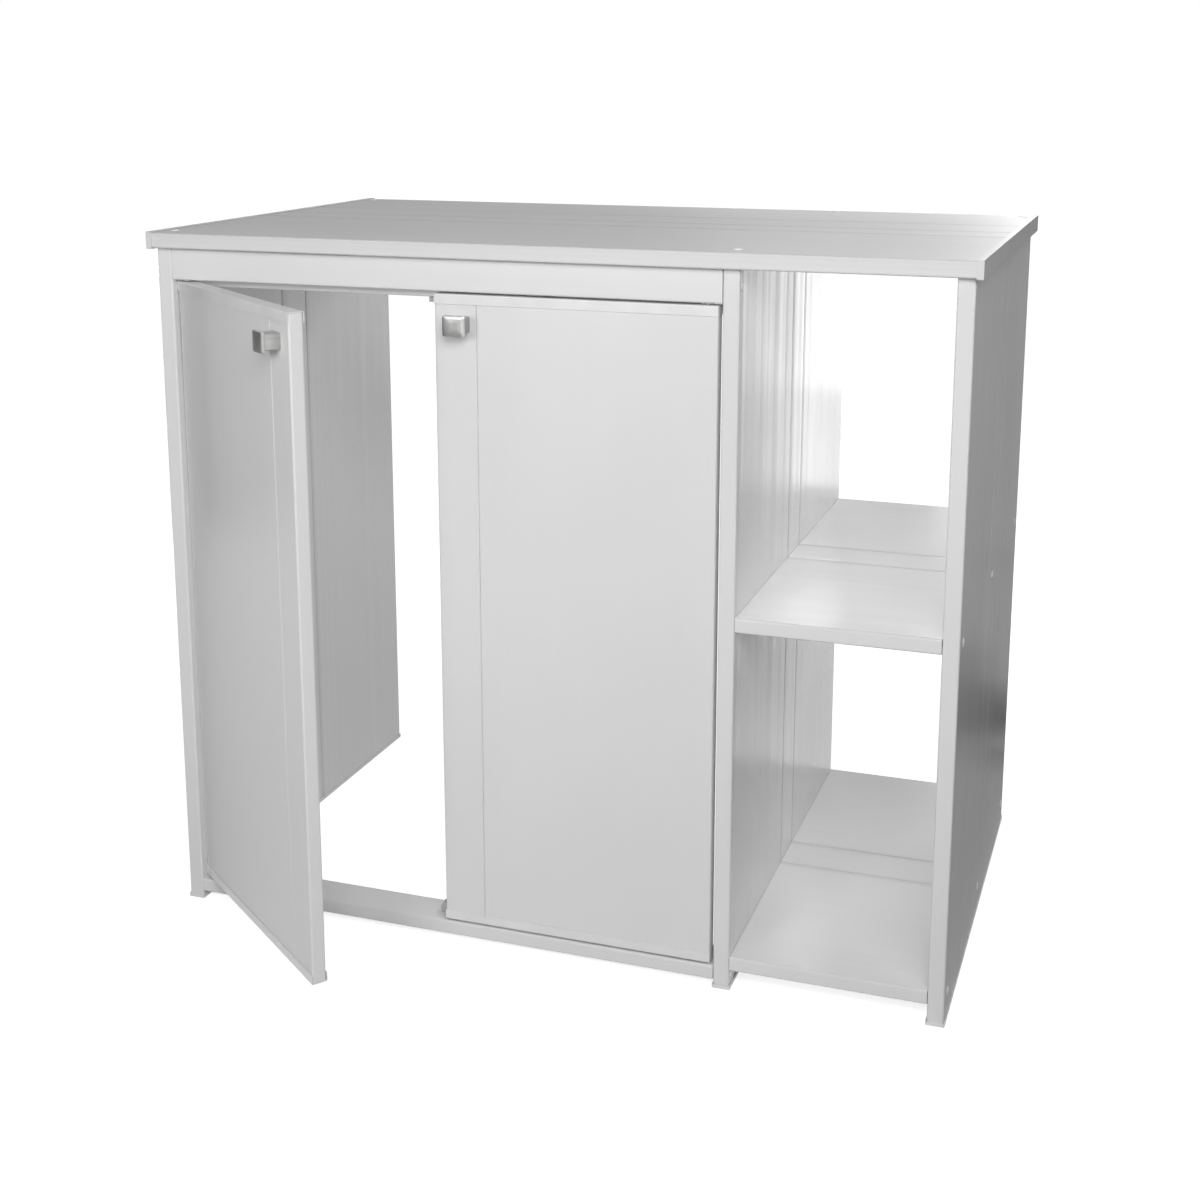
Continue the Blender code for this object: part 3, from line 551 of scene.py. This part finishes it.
def knob_card(side, turn, aside, tone):
    """A card where a knob's face, seen from the camera, looks for its reflection.

    Turn is the door's angle, and aside moves the card from the exact direction.
    """
    low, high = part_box(f"{side}_knob")
    knob = (low + high) / 2
    outward = Vector((math.sin(turn), -math.cos(turn), 0))
    view = (Vector(CAMERA_PLACE) - knob).normalized()
    mirrored = 2 * view.dot(outward) * outward - view + Vector(aside)
    place = knob + KNOB_CARD_DISTANCE * mirrored.normalized()
    rotation = facing(place, knob, "Z")
    build_card(f"{side}_knob_card", place, rotation, KNOB_CARD_SIZE, KNOB_CARD_SIZE, tone, KNOB_CARD_FADE)


def side_cards():
    """A painted reflection of a grey wall behind the right side and a grey floor beside it, with painted
    shade where the two meet.
    """
    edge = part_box("right_upright_front_plank")[1].x - SIDE_CARD_OVERLAP
    middle = edge + SIDE_CARD_WIDTH / 2
    place = (middle, SIDE_WALL_PLACE, SIDE_WALL_HEIGHT / 2)
    size = (SIDE_CARD_WIDTH, SIDE_WALL_HEIGHT)
    build_card("side_wall_card", place, (math.pi / 2, 0, 0), *size, SIDE_WALL_TONE, SIDE_CARD_FADE)
    place = (middle, SIDE_WALL_PLACE - SIDE_FLOOR_DEPTH / 2, SIDE_FLOOR_RISE)
    size = (SIDE_CARD_WIDTH, SIDE_FLOOR_DEPTH)
    build_card("side_floor_card", place, (0, 0, math.pi), *size, SIDE_FLOOR_TONE, SIDE_CARD_FADE)


def build_cards():
    """Cards that the knobs and the right side reflect, as they reflect a darker room in the photograph."""
    knob_card("left", LEFT_DOOR_TURN, (0, 0, 0), LEFT_KNOB_TONE)
    knob_card("right", 0.0, RIGHT_KNOB_ASIDE, RIGHT_KNOB_TONE)
    side_cards()


def build_world():
    """Even pale surroundings, shown white behind the object and in its reflections."""
    world = bpy.data.worlds.new("studio")
    bpy.context.scene.world = world
    world.use_nodes = True
    tree = world.node_tree
    background = tree.nodes["Background"]
    background.inputs["Color"].default_value = (1, 1, 1, 1)
    path = tree.nodes.new("ShaderNodeLightPath")
    seen = path.outputs["Is Camera Ray"]
    for ray in ("Is Glossy Ray", "Is Transmission Ray"):
        either = tree.nodes.new("ShaderNodeMath")
        either.operation = "MAXIMUM"
        tree.links.new(seen, either.inputs[0])
        tree.links.new(path.outputs[ray], either.inputs[1])
        seen = either.outputs[0]
    strength = tree.nodes.new("ShaderNodeMapRange")
    strength.inputs["To Min"].default_value = AMBIENT
    strength.inputs["To Max"].default_value = 1.0
    tree.links.new(seen, strength.inputs["Value"])
    tree.links.new(strength.outputs[0], background.inputs["Strength"])


def area_light(name, place, target, width, height, watts):
    """A soft rectangular lamp aimed at a point."""
    data = bpy.data.lights.new(name, "AREA")
    data.shape = "RECTANGLE"
    data.size = width
    data.size_y = height
    data.energy = watts
    lamp = bpy.data.objects.new(name, data)
    lamp.location = place
    lamp.rotation_euler = facing(place, target, "-Z")
    lamp.visible_camera = False
    bpy.context.scene.collection.objects.link(lamp)


def build_lights():
    """Soft lamps in front, behind and at the left."""
    for lamp in LAMPS:
        area_light(*lamp)


def build_camera():
    """The photograph's viewpoint."""
    data = bpy.data.cameras.new("photo_camera")
    data.sensor_width = SENSOR_WIDTH
    data.lens = FOCAL_PIXELS / PHOTO_SIZE * SENSOR_WIDTH
    data.shift_y = (PRINCIPAL_ROW - PHOTO_SIZE / 2) / PHOTO_SIZE
    camera = bpy.data.objects.new("photo_camera", data)
    camera.location = CAMERA_PLACE
    camera.rotation_euler = Euler((math.pi / 2 - CAMERA_PITCH, 0, CAMERA_YAW))
    bpy.context.scene.collection.objects.link(camera)
    bpy.context.scene.camera = camera


def build():
    """Dress the cabinet and set the stage."""
    finishes = build_finishes()
    dress_cabinet(finishes)
    screw_caps(finishes["screw_cap"])
    build_floor()
    build_cards()
    build_world()
    build_lights()
    build_camera()
    bpy.context.scene.view_settings.view_transform = "Standard"


build()
